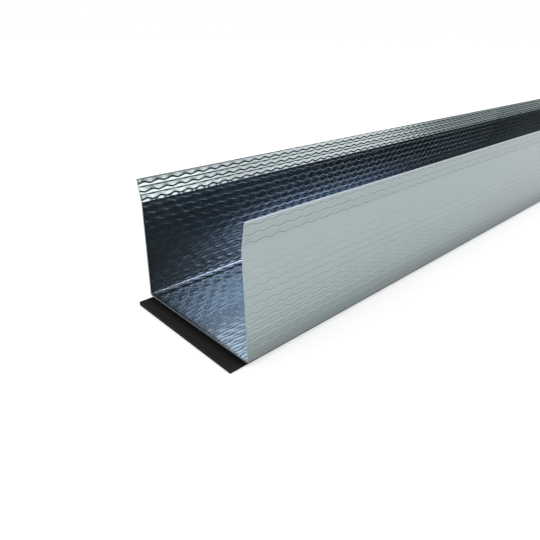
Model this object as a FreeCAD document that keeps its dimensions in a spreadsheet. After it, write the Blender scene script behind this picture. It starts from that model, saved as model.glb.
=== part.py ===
"""Drywall track: a roll-formed steel channel with a foam sealing strip glued under its web.

Frame: millimetres, +Z up, +Y along the track. The origin is on the floor under the middle of the
whole part, so the strip's underside is at Z = 0. The strip sticks out of the channel's -Y end.
"""
import FreeCAD, Part
import Sketcher
import math
import os

SIZES = [
    ("track_length", 2400, "length of the steel channel"),
    ("web_width", 70, "outside width across the web"),
    ("leg_height", 55, "height of the legs over the underside of the web"),
    ("lip_height", 9.7, "height of the flared lip, from its crease to the top of the leg"),
    ("crease_inset", 2, "how far each leg has leaned inward at its crease"),
    ("lip_flare", 1.8, "how far each lip flares outward again above its crease"),
    ("sheet", 0.5, "thickness of the steel"),
    ("bend_radius", 0.6, "inside radius of the bend between web and leg"),
    ("strip_inset", 2, "how far each side of the sealing strip is set in from the web's"),
    ("strip_thickness", 2, "thickness of the sealing strip"),
    ("strip_overhang", 7, "length of strip that sticks out past the channel"),
]


def add_sheet(doc):
    """The driving sizes, one aliased cell each with its meaning beside it."""
    sheet = doc.addObject("Spreadsheet::Sheet", "Sizes")
    for row, (alias, value, meaning) in enumerate(SIZES, start=1):
        sheet.set(f"A{row}", str(value))
        sheet.setAlias(f"A{row}", alias)
        sheet.set(f"B{row}", meaning)
    doc.recompute()
    return sheet


def origin_plane(body, role):
    return next(item for item in body.Origin.OriginFeatures if item.Role == role)


def constrain(sketch, name, expression, definition):
    """Add one driving size to the sketch, bound to the sheet."""
    index = sketch.addConstraint(Sketcher.Constraint(*definition))
    sketch.renameConstraint(index, name)
    sketch.setExpression(f"Constraints.{name}", expression)


def draw_half_section(sketch, sizes):
    """Right half of the section: web, bend, leaning leg and flared lip, round both faces of the sheet."""
    half = sizes.web_width / 2
    sheet = sizes.sheet
    inner = sizes.bend_radius
    outer = inner + sheet
    crease_x = half - sizes.crease_inset
    lip_x = crease_x + sizes.lip_flare
    top_z = sizes.leg_height
    crease_z = top_z - sizes.lip_height

    def point(x, z):
        return FreeCAD.Vector(x, z, 0)

    def line(start, end):
        return sketch.addGeometry(Part.LineSegment(start, end), False)

    def bend(radius, start, end):
        circle = Part.Circle(point(half - outer, outer), FreeCAD.Vector(0, 0, 1), radius)
        return sketch.addGeometry(Part.ArcOfCircle(circle, start, end), False)

    quarter = math.pi / 2
    web_under = line(point(0, 0), point(half - outer, 0))
    bend_out = bend(outer, -quarter, 0)
    leg_out = line(point(half, outer), point(crease_x, crease_z))
    lip_out = line(point(crease_x, crease_z), point(lip_x, top_z))
    lip_edge = line(point(lip_x, top_z), point(lip_x - sheet, top_z))
    lip_in = line(point(lip_x - sheet, top_z), point(crease_x - sheet, crease_z))
    leg_in = line(point(crease_x - sheet, crease_z), point(half - sheet, outer))
    bend_in = bend(inner, -quarter, 0)
    web_top = line(point(half - outer, sheet), point(0, sheet))
    middle = line(point(0, sheet), point(0, 0))
    corner = sketch.addGeometry(Part.Point(point(half, 0)), True)

    start, end, centre = 1, 2, 3
    axis, root = -1, 1
    joined = [
        (web_under, end, bend_out, start), (bend_out, end, leg_out, start),
        (leg_in, end, bend_in, end), (bend_in, start, web_top, start),
    ]
    for first, first_end, second, second_end in joined:
        sketch.addConstraint(Sketcher.Constraint("Tangent", first, first_end, second, second_end))
    corners = [
        (leg_out, lip_out), (lip_out, lip_edge), (lip_edge, lip_in),
        (lip_in, leg_in), (web_top, middle), (middle, web_under),
    ]
    for first, second in corners:
        sketch.addConstraint(Sketcher.Constraint("Coincident", first, end, second, start))
    sketch.addConstraint(Sketcher.Constraint("Coincident", web_under, start, axis, root))
    sketch.addConstraint(Sketcher.Constraint("Horizontal", web_under))
    sketch.addConstraint(Sketcher.Constraint("Horizontal", web_top))
    sketch.addConstraint(Sketcher.Constraint("Vertical", middle))
    sketch.addConstraint(Sketcher.Constraint("Coincident", bend_in, centre, bend_out, centre))
    sketch.addConstraint(Sketcher.Constraint("PointOnObject", corner, start, axis))
    sketch.addConstraint(Sketcher.Constraint("PointOnObject", corner, start, leg_out))
    sketch.addConstraint(Sketcher.Constraint("Perpendicular", lip_out, lip_edge))
    sketch.addConstraint(Sketcher.Constraint("Parallel", lip_out, lip_in))
    sketch.addConstraint(Sketcher.Constraint("Parallel", leg_out, leg_in))

    drives = [
        ("half_width", "Sizes.web_width / 2", "DistanceX", axis, root, corner, start, half),
        ("crease_inset", "Sizes.crease_inset", "DistanceX", leg_out, end, corner, start, half - crease_x),
        ("lip_flare", "Sizes.lip_flare", "DistanceX", lip_out, start, lip_out, end, lip_x - crease_x),
        ("lip_height", "Sizes.lip_height", "DistanceY", lip_out, start, lip_in, start, top_z - crease_z),
        ("leg_height", "Sizes.leg_height", "DistanceY", corner, start, lip_in, start, top_z),
        ("web_sheet", "Sizes.sheet", "DistanceY", middle, end, middle, start, sheet),
        ("lip_sheet", "Sizes.sheet", "Distance", lip_edge, sheet),
        ("bend_radius", "Sizes.bend_radius", "Radius", bend_in, inner),
    ]
    for name, expression, *definition in drives:
        constrain(sketch, name, expression, definition)


def make_channel(doc, sizes):
    """One bent sheet: the half section run along the track and mirrored about its middle plane."""
    body = doc.addObject("PartDesign::Body", "TrackChannel")
    body.Label = "track_channel"
    section = body.newObject("Sketcher::SketchObject", "HalfSection")
    section.AttachmentSupport = [(origin_plane(body, "XZ_Plane"), "")]
    section.MapMode = "FlatFace"
    draw_half_section(section, sizes)
    half = body.newObject("PartDesign::Pad", "HalfChannel")
    half.Profile = section
    half.setExpression("Length", "Sizes.track_length")
    half.Midplane = True
    doc.recompute()
    whole = body.newObject("PartDesign::Mirrored", "WholeChannel")
    whole.Originals = [half]
    whole.MirrorPlane = (origin_plane(body, "YZ_Plane"), [""])
    whole.Refine = True
    body.Tip = whole
    body.setExpression("Placement.Base.y", "Sizes.strip_overhang / 2")
    body.setExpression("Placement.Base.z", "Sizes.strip_thickness")
    return body


def make_strip(doc):
    """Flat strip under the web, from the channel's far end to its overhang at the near end."""
    strip = doc.addObject("Part::Box", "SealStrip")
    strip.Label = "seal_strip"
    strip.setExpression("Length", "Sizes.web_width - 2 * Sizes.strip_inset")
    strip.setExpression("Width", "Sizes.track_length + Sizes.strip_overhang")
    strip.setExpression("Height", "Sizes.strip_thickness")
    strip.setExpression("Placement.Base.x", "Sizes.strip_inset - Sizes.web_width / 2")
    strip.setExpression("Placement.Base.y", "-(Sizes.track_length + Sizes.strip_overhang) / 2")
    return strip


def check(doc, parts):
    """Stop before anything is written if a feature failed or a piece is not one sound solid."""
    for item in doc.Objects:
        if "Invalid" in item.State or "Error" in item.State:
            raise RuntimeError(f"{item.Name} failed: {item.State}")
    for part in parts:
        shape = part.Shape
        if shape.isNull() or not shape.isValid():
            raise RuntimeError(f"{part.Label} has no valid shape")
        if len(shape.Solids) != 1:
            raise RuntimeError(f"{part.Label} has {len(shape.Solids)} solids in place of one")


def main():
    doc = FreeCAD.newDocument("DrywallTrack")
    sizes = add_sheet(doc)
    parts = [make_channel(doc, sizes), make_strip(doc)]
    doc.recompute()
    check(doc, parts)
    os.makedirs("parts", exist_ok=True)
    for part in parts:
        part.Shape.exportStep(f"parts/{part.Label}.step")
        box = part.Shape.BoundBox
        print(part.Label, "volume", round(part.Shape.Volume, 3), "box", box)


main()
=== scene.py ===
"""Drywall track: the looks of a wave-embossed steel channel on its foam sealing strip.

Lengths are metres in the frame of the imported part: +Y along the track, +Z up, floor at Z = 0.
"""
import math
import typing

import bpy
import numpy as np
from mathutils import Matrix, Vector


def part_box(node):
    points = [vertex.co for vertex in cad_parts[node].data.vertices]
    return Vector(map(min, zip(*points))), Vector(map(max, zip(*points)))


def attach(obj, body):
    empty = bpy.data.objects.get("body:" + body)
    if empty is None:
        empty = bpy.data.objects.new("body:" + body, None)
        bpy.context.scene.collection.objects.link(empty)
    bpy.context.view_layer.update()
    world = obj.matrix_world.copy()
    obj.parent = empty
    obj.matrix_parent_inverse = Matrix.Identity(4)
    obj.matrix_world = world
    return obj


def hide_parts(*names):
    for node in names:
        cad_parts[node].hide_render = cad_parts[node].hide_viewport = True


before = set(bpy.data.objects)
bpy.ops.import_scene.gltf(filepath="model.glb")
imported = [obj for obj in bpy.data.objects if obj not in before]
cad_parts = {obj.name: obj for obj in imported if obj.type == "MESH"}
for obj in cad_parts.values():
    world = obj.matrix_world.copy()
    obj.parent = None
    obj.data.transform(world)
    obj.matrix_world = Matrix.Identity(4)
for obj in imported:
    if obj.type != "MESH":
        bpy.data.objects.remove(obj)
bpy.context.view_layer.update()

bl_info = {
    "name": "Drywall Track",
    "version": (1, 0, 0),
    "blender": (4, 5, 0),
    "location": "View3D > Sidebar > Drywall Track",
    "description": "Makes a wave-embossed drywall track with its sealing strip and a studio stage",
    "category": "Add Mesh",
}

CHANNEL_LOW, CHANNEL_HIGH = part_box("track_channel")
STRIP_LOW, STRIP_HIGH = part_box("seal_strip")
MM = 0.001


# Sizes, colours and settings


def length(name, description, default):
    """A length in metres, shown in the scene's units."""
    return bpy.props.FloatProperty(
        name=name, description=description, default=default, unit="LENGTH", precision=5)


def share(name, description, default):
    """A plain number between 0 and 1."""
    return bpy.props.FloatProperty(
        name=name, description=description, default=default, subtype="FACTOR", min=0.0, max=1.0)


def colour(name, description, default):
    """A linear colour."""
    return bpy.props.FloatVectorProperty(
        name=name, description=description, default=default, subtype="COLOR", size=3, min=0.0, max=1.0)


class ChannelSizes(bpy.types.PropertyGroup):
    """Section of the bent sheet and the waves rolled into it."""

    web_width: length("Web width", "Outside width across the web, to its sharp corners", 70 * MM)
    leg_height: length(
        "Leg height", "Height of the legs over the underside of the web", CHANNEL_HIGH.z - CHANNEL_LOW.z)
    lip_height: length("Lip height", "Height of the lip, from its crease to the top", 9.7 * MM)
    crease_inset: length("Crease inset", "How far a leg has leaned inward at its crease", 2 * MM)
    lip_flare: length("Lip flare", "How far a lip flares outward above its crease", 1.8 * MM)
    sheet: length("Sheet", "Thickness of the steel", 0.5 * MM)
    bend_radius: length("Bend radius", "Inside radius between web and leg", 0.6 * MM)
    row_pitch: length("Row pitch", "Distance from one wavy ridge to the next, across the sheet", 3.385 * MM)
    row_start: length("Row start", "First wavy ridge's place beyond the middle of the web", 2.935 * MM)
    wave_length: length("Wave length", "Length of one wave along the track", 6.83 * MM)
    wave_start: length("Wave start", "First low point of the odd rows, from the near end", 2.23 * MM)
    wave_swing: length("Wave swing", "How far a ridge swings from side to side", 0.85 * MM)
    wave_rise: share("Wave rise", "Share of a wave in which the ridge climbs outward", 0.625)
    inner_relief: length("Inner relief", "Height of the wavy ridges on the inner face", 0.16 * MM)
    outer_relief: length("Outer relief", "Depth of the wavy grooves on the outer face", 0.12 * MM)
    web_share: share("Web share", "Height of the web's ridges, against those of the legs", 0.68)
    edge_width: length("Edge width", "Width of the crisp edge beside a wavy ridge's crest", 0.09 * MM)
    edge_share: share("Edge share", "Height left at the foot of the crisp edge, against the crest's", 0.73)
    steep_width: length("Steep width", "Width of a wavy ridge's steep side, with its crisp edge", 0.6 * MM)
    soft_edge_share: share("Soft edge share", "The edge share on the web and the lips", 0.87)
    soft_steep_width: length("Soft steep width", "The steep width on the web and the lips", 0.75 * MM)
    gentle_width: length("Gentle width", "Width of a wavy ridge's gentle side", 1.3 * MM)
    straight_gap: length("Straight gap", "From a wavy ridge to the straight one beside it", 1.85 * MM)
    end_fade: length("End fade", "Length over which a sheared end flattens the ridges", 0.9 * MM)
    straight_share: share(
        "Straight share", "Height of the legs' straight ridges, against the wavy ones", 0.45)
    web_straight_share: share("Web's straight share", "The straight share on the web", 0.6)
    lip_straight_share: share("Lip's straight share", "The straight share on the lips", 0.3)
    groove_width: length("Groove width", "Width of the steep side of the outer wavy grooves", 0.45 * MM)
    outer_straight_share: share(
        "Outer straight share", "Depth of the outer face's straight grooves, against the wavy ones", 0.5)
    crease_share: share("Crease share", "How proud the lips' crease is, against the wavy ridges", 0.6)
    cut_slant: length("Cut slant", "How far the sheared ends run back on the inner face", 0.15 * MM)
    fine_length: length("Fine length", "Length of track at the near end with finely cut waves", 45 * MM)
    relief_length: length("Relief length", "Length of track whose waves are shaped in the mesh", 350 * MM)
    relief_fade: length("Relief fade", "Length over which the shaped waves hand over to shading", 20 * MM)


class StripSizes(bpy.types.PropertyGroup):
    """The foam strip under the web."""

    edge_radius: length("Edge radius", "Rounding of the strip's cut edges", 0.35 * MM)
    cell_size: length("Cell size", "Size of the foam's cells", 0.5 * MM)


class TrackFinish(bpy.types.PropertyGroup):
    """Colours and gloss of the surfaces."""

    zinc: colour("Zinc", "Galvanised steel", (0.335, 0.392, 0.395))
    zinc_roughness: share("Zinc roughness", "Roughness of the galvanised steel", 0.17)
    zinc_grain: share("Zinc grain", "Spread of the zinc's roughness from grain to grain", 0.15)
    zinc_edge: colour("Zinc edge", "Tint of the zinc at a glancing view", (0.85, 0.85, 0.85))
    # Painted highlight: a bright zinc colour inside the bends, standing in for light caught there
    bend_highlight_colour: colour("Burnished zinc", "Zinc rubbed bright inside the bends", (0.95, 0.97, 0.9))
    cut: colour("Cut steel", "Bare steel on the sheared edges", (0.56, 0.62, 0.65))
    # Painted shade: a dark colour on the web's cut edge just above the strip
    edge_shade: colour("Grimy steel", "Cut edge of the web, beside the sealing strip", (0.2, 0.22, 0.23))
    edge_shade_reach: length("Grime reach", "How far up from the strip the cut edge is grimy", 2 * MM)
    # Painted highlight: a bright colour on the cut edges that face up, the lips' tops
    lip_top_highlight: colour("Slit steel", "Brighter steel along the tops of the lips", (0.95, 0.97, 1.0))
    cut_roughness: share("Cut roughness", "Roughness of the cut edges", 0.5)
    foam: colour("Foam", "Closed-cell foam of the sealing strip", (0.0195, 0.0207, 0.0175))
    # Painted shade: a darker foam colour under the steel and close to it
    foam_shade: colour("Dark foam", "The foam under the steel and close to it", (0.004, 0.0042, 0.0042))
    foam_roughness: share("Foam roughness", "Roughness of the foam", 0.85)


class StageSettings(bpy.types.PropertyGroup):
    """Camera, floor and light."""

    lens: bpy.props.FloatProperty(
        name="Lens", description="Focal length on a 36 mm sensor", default=30.885, unit="CAMERA")
    azimuth: bpy.props.FloatProperty(
        name="Azimuth", description="Turn of the camera round the track", subtype="ANGLE",
        default=math.radians(47.044))
    elevation: bpy.props.FloatProperty(
        name="Elevation", description="Downward look of the camera", subtype="ANGLE",
        default=math.radians(26.419))
    roll: bpy.props.FloatProperty(
        name="Roll", description="Sideways lean of the camera", subtype="ANGLE",
        default=math.radians(0.199))
    eye: bpy.props.FloatVectorProperty(
        name="Eye", description="Camera's place from the middle of the near end's web", size=3,
        subtype="XYZ", unit="LENGTH", default=(140.168 * MM, -87.294 * MM, 106.379 * MM))
    floor: colour("Floor", "Pale floor", (0.8, 0.8, 0.8))
    floor_lift: share("Floor lift", "White glow that the floor shows directly and in reflections", 0.5)
    world_light: share("World light", "Strength of the even light from all round", 0.9)
    flag: colour("Dark flag", "Flag overhead, seen only in reflections", (0.11, 0.086, 0.082))
    shade_width: length("Shade width", "Reach of the dark strip on the floor beside each leg", 26 * MM)
    shade_depth: share("Shade depth", "How dark that strip is beside the leg", 0.45)


# Shader maths and nodes


class Shade:
    """One socket of a shader tree. Arithmetic on it adds Math nodes."""

    def __init__(self, tree, socket):
        self.tree = tree
        self.socket = socket

    def maths(self, operation, *operands):
        return add_node(self.tree, "ShaderNodeMath", {"operation": operation}, dict(enumerate(operands)))

    def __add__(self, other):
        return self.maths("ADD", self, other)

    def __radd__(self, other):
        return self.maths("ADD", other, self)

    def __sub__(self, other):
        return self.maths("SUBTRACT", self, other)

    def __rsub__(self, other):
        return self.maths("SUBTRACT", other, self)

    def __mul__(self, other):
        return self.maths("MULTIPLY", self, other)

    def __rmul__(self, other):
        return self.maths("MULTIPLY", other, self)

    def __truediv__(self, other):
        return self.maths("DIVIDE", self, other)

    def __rtruediv__(self, other):
        return self.maths("DIVIDE", other, self)

    def floor(self):
        return self.maths("FLOOR", self)

    def size(self):
        return self.maths("ABSOLUTE", self)

    def fraction(self):
        return self.maths("FRACT", self)

    def cosine(self):
        return self.maths("COSINE", self)

    def smallest(self, other):
        return self.maths("MINIMUM", self, other)

    def largest(self, other):
        return self.maths("MAXIMUM", self, other)


def add_node(tree, kind, settings=None, inputs=None, output=0):
    """Add a node: its settings first, then its sockets' values or links. Gives an output, if it has one."""
    node = tree.nodes.new(kind)
    for name, value in (settings or {}).items():
        setattr(node, name, value)
    for name, value in (inputs or {}).items():
        if isinstance(value, Shade):
            tree.links.new(value.socket, node.inputs[name])
        else:
            node.inputs[name].default_value = value
    return Shade(tree, node.outputs[output]) if node.outputs else None


def part_of(vector, axis):
    """The X, Y or Z of a vector."""
    return add_node(vector.tree, "ShaderNodeSeparateXYZ", inputs={"Vector": vector}, output=axis)


def object_place(tree):
    """Where a surface is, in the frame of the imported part."""
    return add_node(tree, "ShaderNodeTexCoord", output="Object")


def noise(place, scale, detail):
    """Soft random values between 0 and 1."""
    inputs = {"Vector": place, "Scale": scale, "Detail": detail}
    return add_node(place.tree, "ShaderNodeTexNoise", inputs=inputs)


def mix_colour(tree, factor, first, second):
    """Blend two colours by a factor."""
    return add_node(tree, "ShaderNodeMix", {"data_type": "RGBA"}, {0: factor, 6: first, 7: second}, 2)


def opaque(rgb):
    """A colour with its alpha."""
    return (*rgb, 1.0)


def new_material(name):
    """An empty material and its tree."""
    material = bpy.data.materials.new(name)
    material.use_nodes = True
    material.node_tree.nodes.clear()
    return material, material.node_tree


def show(shader, kind="ShaderNodeOutputMaterial"):
    """Put a shader on its material, or on the world."""
    add_node(shader.tree, kind, inputs={"Surface": shader})


def principled(tree, inputs):
    """A Principled shader, shown on its material."""
    show(add_node(tree, "ShaderNodeBsdfPrincipled", inputs=inputs))


# The bent sheet and its waves

# Distance in metres under which two places count as one
SAME_PLACE = 1e-9


class Section:
    """Half of the bent sheet, followed outward from the middle of the web to the top of a lip.

    A distance across is measured along the middle of the sheet's thickness. Heights start at the
    underside of the web.
    """

    def __init__(self, sizes):
        self.half_sheet = sizes.sheet / 2
        crease_height = sizes.leg_height - sizes.lip_height
        self.lean = math.atan2(sizes.crease_inset, crease_height)
        # The lip's height is that of its inner face, which ends a little higher than the outer one
        first_guess = math.atan2(sizes.lip_flare, sizes.lip_height)
        outer_rise = sizes.lip_height - sizes.sheet * math.sin(first_guess)
        self.flare = math.atan2(sizes.lip_flare, outer_rise)
        outer_radius = sizes.bend_radius + sizes.sheet
        self.radius = outer_radius - self.half_sheet
        half_width = sizes.web_width / 2
        setback = outer_radius * (1 + math.sin(self.lean)) / math.cos(self.lean)
        self.centre = (half_width - setback, outer_radius)
        self.leg_normal = np.array((-math.cos(self.lean), -math.sin(self.lean)))
        self.lip_normal = np.array((-math.cos(self.flare), math.sin(self.flare)))
        both = self.leg_normal + self.lip_normal
        self.crease_normal = both / (1 + self.leg_normal @ self.lip_normal)
        self.leg_foot = np.array(self.centre) - self.radius * self.leg_normal
        outer_crease = np.array((half_width - sizes.crease_inset, crease_height))
        self.crease = outer_crease + self.half_sheet * self.crease_normal
        inner_rise = (self.half_sheet + sizes.inner_relief) * math.sin(self.flare)
        top_rise = sizes.leg_height - inner_rise - self.crease[1]
        self.bend_start = self.centre[0]
        self.bend_end = self.bend_start + self.radius * (math.pi / 2 + self.lean)
        self.crease_at = self.bend_end + float(np.linalg.norm(self.crease - self.leg_foot))
        self.top = self.crease_at + top_rise / math.cos(self.flare)

    def follow(self, across):
        """Places on the middle of the sheet, and inward normals, for an array of distances across."""
        turn = (across - self.bend_start) / self.radius - math.pi / 2
        up_leg = across - self.bend_end
        up_lip = across - self.crease_at
        on_web = across <= self.bend_start
        on_bend = across < self.bend_end
        on_leg = up_lip < 0
        at_crease = np.abs(up_lip) < SAME_PLACE
        leg_way = np.array((self.leg_normal[1], -self.leg_normal[0]))
        lip_way = np.array((self.lip_normal[1], -self.lip_normal[0]))
        cases = [on_web, on_bend, at_crease, on_leg]

        def pick(web, bend, crease, leg, lip):
            choices = [np.broadcast_to(value, across.shape) for value in (web, bend, crease, leg)]
            return np.select(cases, choices, np.broadcast_to(lip, across.shape))

        x = pick(across, self.centre[0] + self.radius * np.cos(turn), self.crease[0],
                 self.leg_foot[0] + leg_way[0] * up_leg, self.crease[0] + lip_way[0] * up_lip)
        z = pick(self.half_sheet, self.centre[1] + self.radius * np.sin(turn), self.crease[1],
                 self.leg_foot[1] + leg_way[1] * up_leg, self.crease[1] + lip_way[1] * up_lip)
        normal_x = pick(0.0, -np.cos(turn), self.crease_normal[0], self.leg_normal[0], self.lip_normal[0])
        normal_z = pick(1.0, -np.sin(turn), self.crease_normal[1], self.leg_normal[1], self.lip_normal[1])
        return x, z, normal_x, normal_z


class Waves:
    """The ridges rolled into both faces of the sheet: wavy ones, with a straight one between each two."""

    def __init__(self, sizes):
        self.sizes = sizes

    def swing(self, row, along):
        """How far a row's ridge lies outward of the row's middle: between a zigzag and a smooth wave."""
        sizes = self.sizes
        phase = ((along - sizes.wave_start) / sizes.wave_length + row % 2 / 2) % 1.0
        climb = np.minimum(phase / sizes.wave_rise, (1 - phase) / (1 - sizes.wave_rise))
        return sizes.wave_swing / 4 * (2 * climb - 1 - np.cos(math.pi * climb))

    def fade(self, along):
        """1 where the mesh has the ridges' shape, falling to 0 where shading takes over."""
        sizes = self.sizes
        start = np.clip(along / sizes.end_fade, 0, 1)
        return start * np.clip((sizes.relief_length - along) / sizes.relief_fade, 0, 1)


class Column(typing.NamedTuple):
    """A line of points along the sheet.

    It follows its sway's share of its row's swing. Its lift is how far the face is pushed inward, as a
    share of the relief: that makes ridges on the inner face and grooves on the outer one.
    """

    across: float
    row: int = 0
    sway: float = 0.0
    lift: float = 0.0
    sharp: bool = True


# Steps of the mesh round a bend, and along the stretch past the shaped waves
BEND_STEPS = 5
FAR_STEPS = 14
# Shares of a crest's sway that the feet of its two sides follow
GENTLE_SWAY = 0.5
STEEP_SWAY = 0.9
# Shares of the row pitch kept clear beside a bend, and beside a crease or a lip's top
BEND_MARGIN = 1 / 8
EDGE_MARGIN = 1 / 12
# Share of a wave past which two turning points get a station between them
LONG_GAP = 0.25
# How strong the painted highlight inside a bend is at its middle, before it is held at 1
BEND_HIGHLIGHT_PEAK = 1.5


def in_order(columns):
    """Columns from the web's middle outward."""
    return sorted(columns, key=lambda column: column.across)


def ridge_columns(waves, section, steep_side):
    """Columns of every ridge and valley from the web's middle outward, except round the bend.

    The steep side of a wavy ridge on a leg lies outward of its crest for 1 and inward of it for -1, the
    other way round on the lip, and always inward on the web. With 0 the columns are those of the outer
    face's grooves. A step is a place beyond the crest towards the steep side, a sway and a lift.
    """
    sizes = waves.sizes
    pitch = sizes.row_pitch
    crest = (0.0, 1.0, 1.0)
    crisp_edge = (sizes.edge_width, 1.0, sizes.edge_share)
    soft_edge = (sizes.edge_width, 1.0, sizes.soft_edge_share)
    gentle_foot = (-sizes.gentle_width, GENTLE_SWAY, 0.0)
    crisp_foot = (sizes.steep_width, STEEP_SWAY, 0.0)
    soft_foot = (sizes.soft_steep_width, STEEP_SWAY, 0.0)

    def straight(lift):
        return (-sizes.straight_gap, 0.0, lift)

    on_leg = (straight(sizes.straight_share), gentle_foot, crest, crisp_edge, crisp_foot)
    on_lip = (straight(sizes.lip_straight_share), gentle_foot, crest, soft_edge, soft_foot)
    on_web = (straight(sizes.web_straight_share), gentle_foot, crest, soft_edge, soft_foot)
    outside = (straight(sizes.outer_straight_share), gentle_foot, crest, (sizes.groove_width, 1.0, 0.0))
    columns = []
    for row in range(-1, math.ceil(section.top / pitch) + 1):
        middle = sizes.row_start + row * pitch
        level = 1.0
        if not steep_side:
            steps, lean = outside, 1
        elif middle >= section.crease_at:
            steps, lean = on_lip, -steep_side
        elif middle > section.bend_start:
            steps, lean = on_leg, steep_side
        else:
            steps, lean, level = on_web, -1, sizes.web_share
        for step, sway, lift in steps:
            columns.append(Column(middle + lean * step, row, sway, lift * level))
    margin = pitch * BEND_MARGIN
    bend_from, bend_to = section.bend_start - margin, section.bend_end + margin
    return in_order(column for column in columns
                    if column.across > margin and not bend_from < column.across < bend_to)


def half_columns(section, waves, with_web, steep_side):
    """Columns from the web's middle, or from the bend, to the top of a lip, in order."""
    sizes = waves.sizes
    ridges = ridge_columns(waves, section, steep_side)
    margin = sizes.row_pitch * EDGE_MARGIN
    columns = [column for column in ridges
               if column.across < section.top - margin and abs(column.across - section.crease_at) > margin]
    ridge_places = [column.across for column in ridges]
    top_lift = float(np.interp(section.top, ridge_places, [column.lift for column in ridges]))
    columns.append(Column(section.top, lift=top_lift))
    columns.append(Column(section.crease_at, lift=sizes.crease_share if steep_side else 0.0))
    if with_web:
        # Half of the straight ridge along the web's middle
        columns.append(Column(sizes.edge_width, lift=sizes.web_share * sizes.web_straight_share))
    for step in range(BEND_STEPS + 1):
        turn = (section.bend_end - section.bend_start) * step / BEND_STEPS
        columns.append(Column(section.bend_start + turn, sharp=False))
    first = 0 if with_web else section.bend_start
    return in_order(column for column in columns if column.across >= first)


def both_sides(left, right):
    """Columns of the whole sheet with their sides: -1 on the left, 1 on the right."""
    return [(column, -1) for column in reversed(left)] + [(column, 1) for column in right]


def stations(sizes, track_length):
    """Distances along the track: fine, then at each wave's turning points, then a few plain steps.

    Rows beside each other are half a wave apart, so the turning points of both are taken.
    """
    turns = sorted({0.0, sizes.wave_rise % 0.5, 0.5, 0.5 + sizes.wave_rise % 0.5})
    gaps = zip(turns, [*turns[1:], 1.0])
    fine = sorted({*turns, *((start + end) / 2 for start, end in gaps if end - start > LONG_GAP)})
    found = [0.0]
    wave = -1
    while found[-1] < sizes.relief_length:
        start = sizes.wave_start + wave * sizes.wave_length
        shares = fine if start < sizes.fine_length else turns
        wave_stations = [start + part * sizes.wave_length for part in shares]
        found += [station for station in wave_stations if station > 0]
        wave += 1
    plain = np.linspace(found[-1], track_length, FAR_STEPS + 1)[1:]
    return np.array(found + list(plain))


def sheet_face(section, waves, sided, along, inner):
    """Points of one face of the sheet, rows along the track and columns across it."""
    grid = np.zeros((len(along), len(sided), 3))
    distance = np.zeros((len(along), len(sided)))
    relief = waves.sizes.inner_relief if inner else waves.sizes.outer_relief
    depth = relief * waves.fade(along)
    for index, (column, side) in enumerate(sided):
        across = column.across + column.sway * waves.swing(column.row, along)
        x, z, normal_x, normal_z = section.follow(across)
        proud = column.lift * depth + (section.half_sheet if inner else -section.half_sheet)
        grid[:, index, 0] = side * (x + normal_x * proud)
        grid[:, index, 1] = along
        grid[:, index, 2] = z + normal_z * proud
        distance[:, index] = across
    return grid, distance


def grid_quads(numbers, flip=False):
    """Four-sided faces of a grid of point numbers."""
    corners = [numbers[:-1, :-1], numbers[:-1, 1:], numbers[1:, 1:], numbers[1:, :-1]]
    quads = np.stack(corners, -1).reshape(-1, 4)
    return quads[:, ::-1] if flip else quads


def places(sided):
    """Where columns lie across the sheet, from the left lip to the right one."""
    return [side * column.across for column, side in sided]


def zip_faces(lower, lower_places, upper, upper_places):
    """Triangles between two lines of point numbers, each stepped along in the order of its places."""
    faces = []
    low, high = 0, 0
    while low + 1 < len(lower) or high + 1 < len(upper):
        upper_done = high + 1 == len(upper)
        if low + 1 < len(lower) and (upper_done or lower_places[low + 1] <= upper_places[high + 1]):
            faces.append((int(lower[low]), int(lower[low + 1]), int(upper[high])))
            low += 1
        else:
            faces.append((int(lower[low]), int(upper[high + 1]), int(upper[high])))
            high += 1
    return faces


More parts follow.
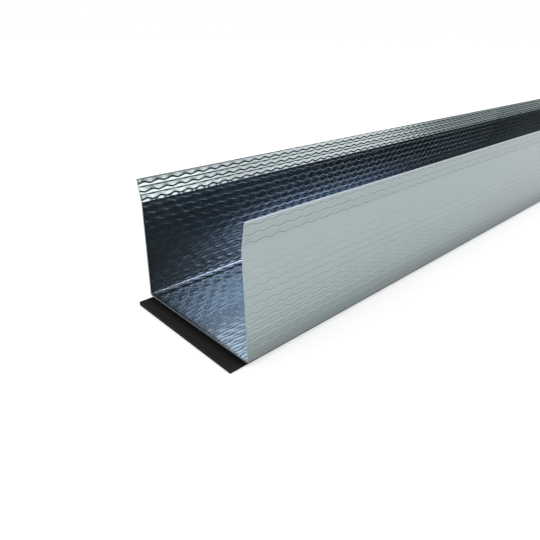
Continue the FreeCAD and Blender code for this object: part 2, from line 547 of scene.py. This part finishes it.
def build_channel(section, waves):
    """The embossed channel as one closed mesh, with the sheared edges as its second material."""
    sizes = waves.sizes
    along = stations(sizes, CHANNEL_HIGH.y - CHANNEL_LOW.y)
    inner_left = half_columns(section, waves, True, 1)
    inner_right = half_columns(section, waves, True, -1)
    outer_half = half_columns(section, waves, False, 0)
    inner_sided = both_sides(inner_left, inner_right)
    outer_sided = both_sides(outer_half, outer_half)
    inner, inner_across = sheet_face(section, waves, inner_sided, along, True)
    inner[0, :, 1] += sizes.cut_slant
    inner[-1, :, 1] -= sizes.cut_slant
    outer, outer_across = sheet_face(section, waves, outer_sided, along, False)
    inner_numbers = np.arange(inner_across.size).reshape(inner_across.shape)
    outer_numbers = np.arange(outer_across.size).reshape(outer_across.shape) + inner_across.size

    faces = grid_quads(inner_numbers).tolist() + grid_quads(outer_numbers, True).tolist()
    rolled_faces = len(faces)
    left_lip = np.stack([inner_numbers[:, 0], outer_numbers[:, 0]], 1)
    right_lip = np.stack([outer_numbers[:, -1], inner_numbers[:, -1]], 1)
    faces += grid_quads(left_lip, True).tolist() + grid_quads(right_lip, True).tolist()
    for station, flip in ((0, False), (-1, True)):
        end_face = zip_faces(outer_numbers[station], places(outer_sided),
                             inner_numbers[station], places(inner_sided))
        faces += [face[::-1] if flip else face for face in end_face]

    points = np.concatenate([inner.reshape(-1, 3), outer.reshape(-1, 3)])
    points += np.array((0.0, CHANNEL_LOW.y, CHANNEL_LOW.z))
    mesh = bpy.data.meshes.new("track_sheet")
    mesh.from_pydata(points.tolist(), [], faces)
    mesh.shade_smooth()
    material_index = np.zeros(len(faces), np.int32)
    material_index[rolled_faces:] = 1
    mesh.polygons.foreach_set("material_index", material_index)
    mark_sharp(mesh, inner_numbers, inner_sided, outer_numbers, outer_sided)
    add_point_values(mesh, "across", np.concatenate([inner_across.ravel(), outer_across.ravel()]))
    # Painted highlight along the inner face of each bend, strongest at its middle
    bend_middle = (section.bend_start + section.bend_end) / 2
    bend_reach = (section.bend_end - section.bend_start) / 2
    bend_highlight = np.clip(BEND_HIGHLIGHT_PEAK * (1 - np.abs(inner_across - bend_middle) / bend_reach), 0, 1)
    add_point_values(mesh, "bend_highlight", np.concatenate([bend_highlight.ravel(), np.zeros(outer_across.size)]))
    return checked(mesh)


def checked(mesh):
    """The mesh, once Blender finds nothing in it to repair."""
    if mesh.validate():
        raise RuntimeError(f"{mesh.name} had faults in its faces")
    mesh.update()
    return mesh


def mark_sharp(mesh, inner_numbers, inner_sided, outer_numbers, outer_sided):
    """Crisp edges along the ridges and valleys, the creases, the lips' tops and the sheared ends."""
    crisp = np.zeros(len(mesh.vertices), bool)
    column_of = np.zeros(len(mesh.vertices), np.int64)
    end_of = np.zeros(len(mesh.vertices), bool)
    both_faces = ((inner_numbers, inner_sided, 0), (outer_numbers, outer_sided, len(inner_sided)))
    for numbers, sided, first in both_faces:
        for index, (column, _) in enumerate(sided):
            crisp[numbers[:, index]] = column.sharp
            column_of[numbers[:, index]] = first + index
        end_of[numbers[0]] = True
        end_of[numbers[-1]] = True
    pairs = np.zeros(len(mesh.edges) * 2, np.int32)
    mesh.edges.foreach_get("vertices", pairs)
    pairs = pairs.reshape(-1, 2)
    lengthwise = column_of[pairs[:, 0]] == column_of[pairs[:, 1]]
    on_end = end_of[pairs[:, 0]] & end_of[pairs[:, 1]] & ~lengthwise
    sharp = (lengthwise & crisp[pairs[:, 0]]) | on_end
    attribute = mesh.attributes.new("sharp_edge", "BOOLEAN", "EDGE")
    attribute.data.foreach_set("value", sharp)


def add_point_values(mesh, name, values):
    """Keep one number for each point of a mesh, for its material to read."""
    attribute = mesh.attributes.new(name, "FLOAT", "POINT")
    attribute.data.foreach_set("value", np.asarray(values, np.float32))


# Materials

# Half the width of a shaded ridge, as a share of the row pitch
RIDGE_REACH = 0.25
# Scales are in patches to the metre, depths are shares of a colour, a grain is a spread of roughness
MOTTLE_SCALE = 90.0
MOTTLE_DEPTH = 0.04
GRAIN_SCALE = 900.0
CUT_SCALE = 1500.0
CUT_DEPTH = 0.15
CUT_GRAIN = 0.2
FOAM_SCALE = 300.0
# Upward facing, from 0 to 1, at which the painted highlight on the lips' tops begins
LIP_FACING = 0.75
# Slope and offset of the painted shade's fading out towards the foam's bare end, and the mottling's share
# in it
PALING_SLOPE = 2.2
PALING_OFFSET = 0.5
PALING_MOTTLE = 0.3


def wave_shading(tree, waves):
    """Height of the ridges beyond the shaped stretch, as a share of the full height."""
    sizes = waves.sizes
    across = add_node(tree, "ShaderNodeAttribute", {"attribute_name": "across"}, output="Fac")
    along = part_of(object_place(tree), "Y") - CHANNEL_LOW.y
    rows = (across - sizes.row_start) / sizes.row_pitch
    row = (rows + 0.5).floor()
    phase = ((along - sizes.wave_start) / sizes.wave_length + (row / 2).fraction()).fraction()
    climb = (phase / sizes.wave_rise).smallest((1 - phase) / (1 - sizes.wave_rise))
    swing = (climb * 2 - 1 - (climb * math.pi).cosine()) * (sizes.wave_swing / 4 / sizes.row_pitch)
    wavy = 1 - (rows - row - swing).size() / RIDGE_REACH
    straight = (1 - (0.5 - (rows - row).size()) / RIDGE_REACH) * sizes.straight_share
    takes_over = 1 - ((sizes.relief_length - along) / sizes.relief_fade).largest(0.0).smallest(1.0)
    return wavy.largest(straight).largest(0.0) * takes_over


def galvanised_steel(finish, waves):
    """Zinc-coated steel: faint mottling, grained gloss, a painted highlight inside the bends, and the
    waves' shading past the shaped stretch.
    """
    material, tree = new_material("galvanised_steel")
    place = object_place(tree)
    mottle = noise(place, MOTTLE_SCALE, detail=3.0)
    grain = noise(place, GRAIN_SCALE, detail=2.0)
    # Where the painted highlight inside the bends lies
    bend_highlight = add_node(tree, "ShaderNodeAttribute", {"attribute_name": "bend_highlight"}, output="Fac")
    light = opaque([min(1.0, (1 + MOTTLE_DEPTH) * part) for part in finish.zinc])
    dark = opaque([(1 - MOTTLE_DEPTH) * part for part in finish.zinc])
    zinc = mix_colour(tree, mottle, dark, light)
    height = wave_shading(tree, waves)
    normal = add_node(tree, "ShaderNodeBump", inputs={
        "Strength": 1.0, "Distance": waves.sizes.inner_relief, "Height": height})
    principled(tree, {
        "Base Color": mix_colour(tree, bend_highlight, zinc, opaque(finish.bend_highlight_colour)),
        "Metallic": 1.0,
        "Specular Tint": opaque(finish.zinc_edge),
        "Roughness": grain * finish.zinc_grain + (finish.zinc_roughness - finish.zinc_grain / 2),
        "Normal": normal,
    })
    return material


def cut_steel(finish):
    """Cut edge of the sheet: bare steel, mottled, with a painted highlight along the lips' tops and painted
    shade beside the strip.
    """
    material, tree = new_material("cut_steel")
    place = object_place(tree)
    mottle = noise(place, CUT_SCALE, detail=2.0)
    dull = opaque([(1 - CUT_DEPTH) * part for part in finish.cut])
    # Painted shade on the web's cut edge, fading out a short way above the strip
    above_web = ((part_of(place, "Z") - CHANNEL_LOW.z) / finish.edge_shade_reach).smallest(1.0)
    bare = mix_colour(tree, mottle, dull, opaque(finish.cut))
    sheared = mix_colour(tree, above_web, opaque(finish.edge_shade), bare)
    # Painted highlight on cut edges that face up, along the lips' tops
    upward = part_of(add_node(tree, "ShaderNodeNewGeometry", output="Normal"), "Z")
    along_lip = ((upward - LIP_FACING) / (1 - LIP_FACING)).largest(0.0)
    principled(tree, {
        "Base Color": mix_colour(tree, along_lip, sheared, opaque(finish.lip_top_highlight)),
        "Metallic": 0.2,
        "Roughness": mottle * CUT_GRAIN + (finish.cut_roughness - CUT_GRAIN / 2),
    })
    return material


def sealing_foam(finish, sizes):
    """Black closed-cell foam: matt, with fine cells, faint mottling, and painted shade under the steel and
    close to it.
    """
    material, tree = new_material("sealing_foam")
    place = object_place(tree)
    cells = add_node(tree, "ShaderNodeTexVoronoi", inputs={"Vector": place, "Scale": 1 / sizes.cell_size})
    mottle = noise(place, FOAM_SCALE, detail=4.0)
    # Painted shade on the foam close to the steel, fading out towards its bare end
    bare = (CHANNEL_LOW.y - part_of(place, "Y")) / (CHANNEL_LOW.y - STRIP_LOW.y)
    out_of_shade = (bare * PALING_SLOPE - PALING_OFFSET + mottle * PALING_MOTTLE).largest(0.0).smallest(1.0)
    normal = add_node(tree, "ShaderNodeBump", inputs={
        "Strength": 0.5, "Distance": sizes.cell_size / 8, "Height": cells})
    principled(tree, {
        "Base Color": mix_colour(tree, out_of_shade, opaque(finish.foam_shade), opaque(finish.foam)),
        "Roughness": finish.foam_roughness,
        "Specular IOR Level": 0.15,
        "Normal": normal,
    })
    return material


# The sealing strip

CORNER_STEPS = 3
STRIP_STATIONS = 60
# A rounding that started at 0 would put all points of a corner in one place
FIRST_TURN = math.radians(15)


def build_strip(sizes):
    """The foam strip: a flat bar with softly rounded edges and ends."""
    radius = sizes.edge_radius
    middle = (STRIP_LOW + STRIP_HIGH) / 2
    inset = (STRIP_HIGH - STRIP_LOW) / 2 - Vector((radius, radius, radius))
    outline = []
    for quarter, (x, z) in enumerate(((1, 1), (-1, 1), (-1, -1), (1, -1))):
        for step in range(CORNER_STEPS + 1):
            angle = (quarter + step / CORNER_STEPS) * math.pi / 2
            outline.append((x * inset.x, z * inset.z, math.cos(angle), math.sin(angle)))
    turns = np.linspace(FIRST_TURN, math.pi / 2, CORNER_STEPS + 1)
    near = [(-inset.y - radius * math.cos(turn), radius * math.sin(turn)) for turn in turns]
    body = [(y, radius) for y in np.linspace(-inset.y, inset.y, STRIP_STATIONS)[1:-1]]
    far = [(-y, reach) for y, reach in reversed(near)]
    points = []
    for y, reach in near + body + far:
        for x, z, out_x, out_z in outline:
            points.append(middle + Vector((x + out_x * reach, y, z + out_z * reach)))
    numbers = np.arange(len(points)).reshape(-1, len(outline))
    closed = np.concatenate([numbers, numbers[:, :1]], 1)
    faces = grid_quads(closed, True).tolist()
    faces.append(numbers[0].tolist())
    faces.append(numbers[-1][::-1].tolist())
    mesh = bpy.data.meshes.new("sealing_strip")
    mesh.from_pydata(points, [], faces)
    mesh.shade_smooth()
    return checked(mesh)


# Pieces


def add_piece(mesh, materials, node):
    """Put a finished mesh into the scene in place of its CAD node."""
    for material in materials:
        mesh.materials.append(material)
    piece = bpy.data.objects.new(mesh.name, mesh)
    bpy.context.scene.collection.objects.link(piece)
    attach(piece, "root")
    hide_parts(node)


class TRACK_OT_channel(bpy.types.Operator):
    """Make the wave-embossed steel channel"""

    bl_idname = "track.channel"
    bl_label = "Steel Channel"

    def execute(self, context):
        scene = context.scene
        section = Section(scene.track_channel)
        waves = Waves(scene.track_channel)
        steel = galvanised_steel(scene.track_finish, waves)
        mesh = build_channel(section, waves)
        add_piece(mesh, [steel, cut_steel(scene.track_finish)], "track_channel")
        return {"FINISHED"}


class TRACK_OT_strip(bpy.types.Operator):
    """Make the foam sealing strip under the web"""

    bl_idname = "track.strip"
    bl_label = "Sealing Strip"

    def execute(self, context):
        scene = context.scene
        foam = sealing_foam(scene.track_finish, scene.track_strip)
        add_piece(build_strip(scene.track_strip), [foam], "seal_strip")
        return {"FINISHED"}


# Stage

FLOOR_SIZE = 60.0
FLAG_SIZE = 48.0
FLAG_HEIGHT = 3.0
SHADE_HEIGHT = 0.2 * MM
CARD_DISTANCE = 2.0
# Cards face a point this far along the track and as high over the floor
CARD_AIM = 0.05
WHITE = (1.0, 1.0, 1.0, 1.0)


def make_camera(stage):
    """The camera at the photograph's place, looking down along the track from beside its near end."""
    turn, drop, roll = stage.azimuth, stage.elevation, stage.roll
    back = Vector((math.sin(turn) * math.cos(drop), -math.cos(turn) * math.cos(drop), math.sin(drop)))
    level = Vector((math.cos(turn), math.sin(turn), 0.0))
    upright = back.cross(level)
    right = level * math.cos(roll) + upright * math.sin(roll)
    up = upright * math.cos(roll) - level * math.sin(roll)
    data = bpy.data.cameras.new("camera")
    data.lens = stage.lens
    data.clip_start = 10 * MM
    data.clip_end = 2 * FLOOR_SIZE
    camera = bpy.data.objects.new("camera", data)
    eye = Vector(stage.eye) + Vector((0.0, CHANNEL_LOW.y, CHANNEL_LOW.z))
    camera.matrix_world = Matrix((
        (right.x, up.x, back.x, eye.x),
        (right.y, up.y, back.y, eye.y),
        (right.z, up.z, back.z, eye.z),
        (0.0, 0.0, 0.0, 1.0)))
    bpy.context.scene.collection.objects.link(camera)
    bpy.context.scene.camera = camera


def seen_rays(tree):
    """1 for rays that show a surface directly, in a mirror or through glass."""
    camera, glossy, through = (
        add_node(tree, "ShaderNodeLightPath", output=name)
        for name in ("Is Camera Ray", "Is Glossy Ray", "Is Transmission Ray"))
    return (camera + glossy + through).smallest(1.0)


def add_flat(name, corners, material):
    """A four-cornered flat piece of the stage."""
    mesh = bpy.data.meshes.new(name)
    mesh.from_pydata(corners, [], [(0, 1, 2, 3)])
    mesh.materials.append(material)
    flat = bpy.data.objects.new(name, mesh)
    bpy.context.scene.collection.objects.link(flat)
    return flat


def add_reflected(name, corners, material):
    """A flat piece of the stage that is seen only in reflections."""
    flat = add_flat(name, corners, material)
    flat.visible_camera = False
    flat.visible_diffuse = False
    flat.visible_shadow = False


def make_floor(stage):
    """A pale floor that looks white and keeps the track's soft shadow."""
    material, tree = new_material("floor")
    diffuse = add_node(tree, "ShaderNodeBsdfDiffuse", inputs={"Color": opaque(stage.floor)})
    lift = add_node(tree, "ShaderNodeEmission", inputs={"Color": WHITE, "Strength": stage.floor_lift})
    lifted = add_node(tree, "ShaderNodeAddShader", inputs={0: diffuse, 1: lift})
    show(add_node(tree, "ShaderNodeMixShader", inputs={0: seen_rays(tree), 1: diffuse, 2: lifted}))
    half = FLOOR_SIZE / 2
    add_flat("floor", [(-half, -half, 0), (half, -half, 0), (half, half, 0), (-half, half, 0)], material)


def make_world(stage):
    """Even soft light, with a white backdrop where it is seen."""
    world = bpy.data.worlds.new("studio")
    world.use_nodes = True
    tree = world.node_tree
    tree.nodes.clear()
    light = add_node(tree, "ShaderNodeBackground", inputs={"Color": WHITE, "Strength": stage.world_light})
    backdrop = add_node(tree, "ShaderNodeBackground", inputs={"Color": WHITE, "Strength": 1.0})
    shown = add_node(tree, "ShaderNodeMixShader", inputs={0: seen_rays(tree), 1: light, 2: backdrop})
    show(shown, "ShaderNodeOutputWorld")
    bpy.context.scene.world = world


class Card(typing.NamedTuple):
    """A glowing card seen only in reflections, by its direction and spread in degrees from the near end.

    The azimuth is 0 straight along the track, away from the near end, and grows towards +X.
    """

    name: str
    azimuth: float
    elevation: float
    width: float
    height: float
    colour: tuple
    strength: float


CARDS = (
    Card("side_card", 42, 33, 34, 14, (0.66, 0.71, 1.0), 7.0),
    Card("back_card", 10, 33, 30, 14, (0.6, 0.66, 1.0), 4.6),
    Card("middle_card", 38, 22, 20, 8, (0.8, 0.85, 1.0), 1.6),
    Card("right_card", 42, 10, 28, 12, (1.0, 0.97, 0.98), 1.8),
    Card("far_card", 14, 12, 28, 16, (0.95, 1.0, 1.0), 0.6),
    Card("front_card", 65, 10, 18, 12, (1.0, 0.98, 0.98), 3.1),
    Card("left_card", -48, 50, 12, 20, (0.74, 0.82, 1.0), 2.0),
    Card("blue_card", -36, 42, 12, 34, (0.45, 0.56, 1.0), 1.2),
    Card("warm_card", -72, 42, 32, 36, (1.0, 0.62, 0.48), 0.4),
)


def glow_material(name, rgb, strength):
    """An even glow."""
    material, tree = new_material(name)
    show(add_node(tree, "ShaderNodeEmission", inputs={"Color": opaque(rgb), "Strength": strength}))
    return material


def make_card(card):
    """One card, facing the track's near end."""
    turn, lift = math.radians(card.azimuth), math.radians(card.elevation)
    aim = Vector((0.0, CHANNEL_LOW.y + CARD_AIM, CARD_AIM))
    way = Vector((math.sin(turn) * math.cos(lift), math.cos(turn) * math.cos(lift), math.sin(lift)))
    reach = CARD_DISTANCE * math.tan(math.radians(card.width) / 2) * math.cos(lift)
    across = Vector((math.cos(turn), -math.sin(turn), 0.0)) * reach
    up = across.cross(way).normalized() * CARD_DISTANCE * math.tan(math.radians(card.height) / 2)
    middle = aim + way * CARD_DISTANCE
    corners = [middle - across - up, middle + across - up, middle + across + up, middle - across + up]
    add_reflected(card.name, corners, glow_material(card.name, card.colour, card.strength))


def make_flag(stage):
    """A dark flag, level over the whole stage."""
    half = FLAG_SIZE / 2
    corners = [(x * half, y * half, FLAG_HEIGHT) for x, y in ((-1, -1), (-1, 1), (1, 1), (1, -1))]
    add_reflected("dark_flag", corners, glow_material("dark_flag", stage.flag, 1.0))


def make_shade(stage, name, side):
    """A dark strip on the floor beside a leg, which fades away from the leg."""
    material, tree = new_material(name)
    out = part_of(object_place(tree), "X").size() - CHANNEL_HIGH.x
    clear = add_node(tree, "ShaderNodeBsdfTransparent")
    dark = add_node(tree, "ShaderNodeEmission", inputs={"Strength": 0.0})
    darkness = (1 - out / stage.shade_width) * stage.shade_depth
    show(add_node(tree, "ShaderNodeMixShader", inputs={0: darkness, 1: clear, 2: dark}))
    leg = side * CHANNEL_HIGH.x
    edge = side * (CHANNEL_HIGH.x + stage.shade_width)
    corners = [(leg, CHANNEL_LOW.y, SHADE_HEIGHT), (edge, CHANNEL_LOW.y, SHADE_HEIGHT),
               (edge, CHANNEL_HIGH.y, SHADE_HEIGHT), (leg, CHANNEL_HIGH.y, SHADE_HEIGHT)]
    add_reflected(name, corners, material)


class TRACK_OT_stage(bpy.types.Operator):
    """Make the camera, the floor and the studio light"""

    bl_idname = "track.stage"
    bl_label = "Studio Stage"

    def execute(self, context):
        stage = context.scene.track_stage
        make_camera(stage)
        make_floor(stage)
        make_world(stage)
        make_flag(stage)
        make_shade(stage, "shade_right", 1)
        make_shade(stage, "shade_left", -1)
        for card in CARDS:
            make_card(card)
        context.scene.view_settings.view_transform = "Standard"
        return {"FINISHED"}


# Sidebar and registering


class TRACK_PT_sidebar(bpy.types.Panel):
    """Buttons and settings of the drywall track"""

    bl_label = "Drywall Track"
    bl_idname = "TRACK_PT_sidebar"
    bl_space_type = "VIEW_3D"
    bl_region_type = "UI"
    bl_category = "Drywall Track"

    def draw(self, context):
        for operator in OPERATORS:
            self.layout.operator(operator.bl_idname)
        for name in SETTINGS:
            box = self.layout.box()
            group = getattr(context.scene, name)
            for key in group.__annotations__:
                box.prop(group, key)


OPERATORS = (TRACK_OT_channel, TRACK_OT_strip, TRACK_OT_stage)
SETTINGS = {
    "track_channel": ChannelSizes,
    "track_strip": StripSizes,
    "track_finish": TrackFinish,
    "track_stage": StageSettings,
}


def register():
    for group in SETTINGS.values():
        bpy.utils.register_class(group)
    for name, group in SETTINGS.items():
        setattr(bpy.types.Scene, name, bpy.props.PointerProperty(type=group))
    for kind in (*OPERATORS, TRACK_PT_sidebar):
        bpy.utils.register_class(kind)


def unregister():
    for kind in reversed((*OPERATORS, TRACK_PT_sidebar)):
        bpy.utils.unregister_class(kind)
    for name in SETTINGS:
        delattr(bpy.types.Scene, name)
    for group in reversed(SETTINGS.values()):
        bpy.utils.unregister_class(group)


def main():
    register()
    bpy.ops.track.channel()
    bpy.ops.track.strip()
    bpy.ops.track.stage()


if __name__ == "__main__":
    main()
